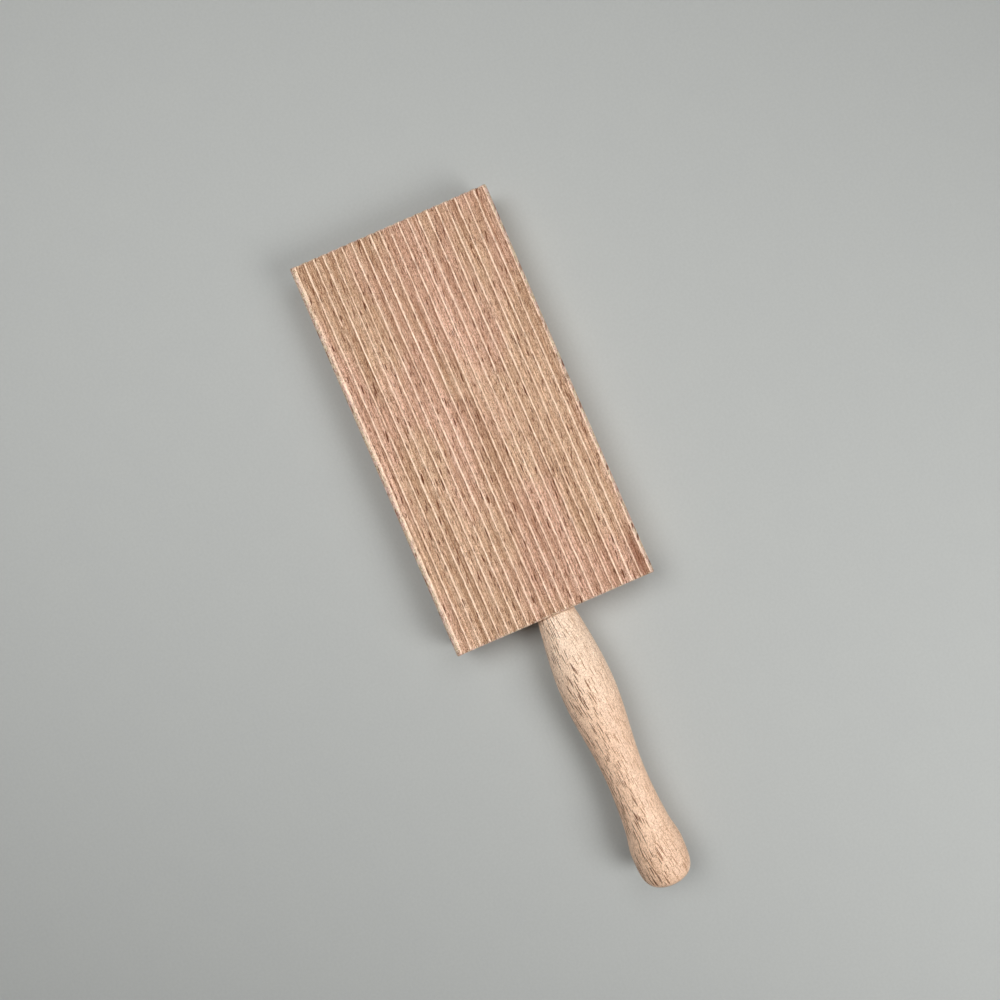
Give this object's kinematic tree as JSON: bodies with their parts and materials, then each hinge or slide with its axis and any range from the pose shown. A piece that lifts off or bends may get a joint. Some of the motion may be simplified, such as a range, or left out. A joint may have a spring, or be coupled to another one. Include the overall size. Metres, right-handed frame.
{
  "type": "gnocchi board",
  "caption": "Flat wooden paddle with fine lengthwise grooves on its upper face and a turned handle pinned into one end, for rolling ridges into small dough pieces.",
  "frame": {"origin": "centre of the board's flat back face", "axes": "+X along the board and out through the handle, +Y across the board, +Z out of the ridged face"},
  "size_m": [0.2683, 0.08, 0.0212],
  "materials": {
    "board_beech": "unfinished, sanded on its flat faces",
    "handle_beech": "unfinished, turned and sanded",
    "pin_beech": "raw, pressed flutes",
    "cured_glue": "cured wood glue"
  },
  "bodies": {
    "root": {"ridged_board": "board_beech", "turned_handle": "handle_beech", "dowel_pin": "pin_beech", "glue_film": "cured_glue"}
  },
  "joints": []
}
